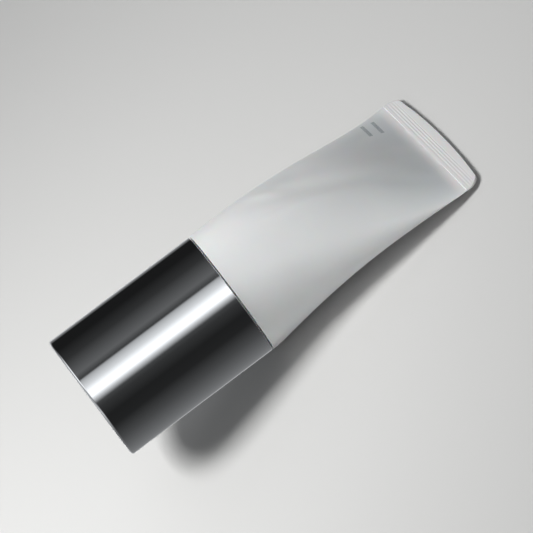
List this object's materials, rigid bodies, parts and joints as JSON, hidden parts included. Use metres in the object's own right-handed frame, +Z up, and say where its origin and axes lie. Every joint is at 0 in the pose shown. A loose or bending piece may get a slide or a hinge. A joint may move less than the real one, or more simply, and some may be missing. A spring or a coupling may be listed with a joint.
{
  "type": "shaving cream tube",
  "caption": "Soft white squeeze tube of shaving cream with a welded flat tail, lying down, and a tall bright metal-shelled screw cap as wide as the tube.",
  "frame": {"origin": "middle of the box's underside, on the surface that the tube lies on", "axes": "+X along the lying tube from cap to tail, +Y across the flat tail, +Z up from the surface"},
  "size_m": [0.1262, 0.0628, 0.0527],
  "materials": {
    "sleeve_film": "satin white polyethylene film, printed with plain grey bars",
    "shoulder_plastic": "moulded white polyethylene",
    "cream": "smooth wet white cream",
    "cap_metal": "bright polished and anodised",
    "cap_plastic": "moulded natural polypropylene",
    "wad_foam": "fine closed-cell polyethylene foam"
  },
  "bodies": {
    "tube": {"tube_sleeve": "sleeve_film", "tube_shoulder": "shoulder_plastic", "cream_fill": "cream"},
    "cap_seal": {"cap_wad": "wad_foam"},
    "cap": {"cap_shell": "cap_metal", "cap_insert": "cap_plastic"}
  },
  "joints": [
    {"name": "cap_lift", "type": "slide", "parent": "tube", "child": "cap_seal", "axis": [-0.9646, 0, 0.2636], "range_m": [0, 0.01501]},
    {"name": "cap_turn", "type": "hinge", "parent": "cap_seal", "child": "cap", "pos_m": [-0.00941, 0, 0.02035], "axis": [-0.9646, 0, 0.2636], "range_deg": [0, 900]}
  ],
  "couplings": [
    {"joint": "cap_lift", "follows": "cap_turn", "m_per_rad": 0.00095493}
  ]
}
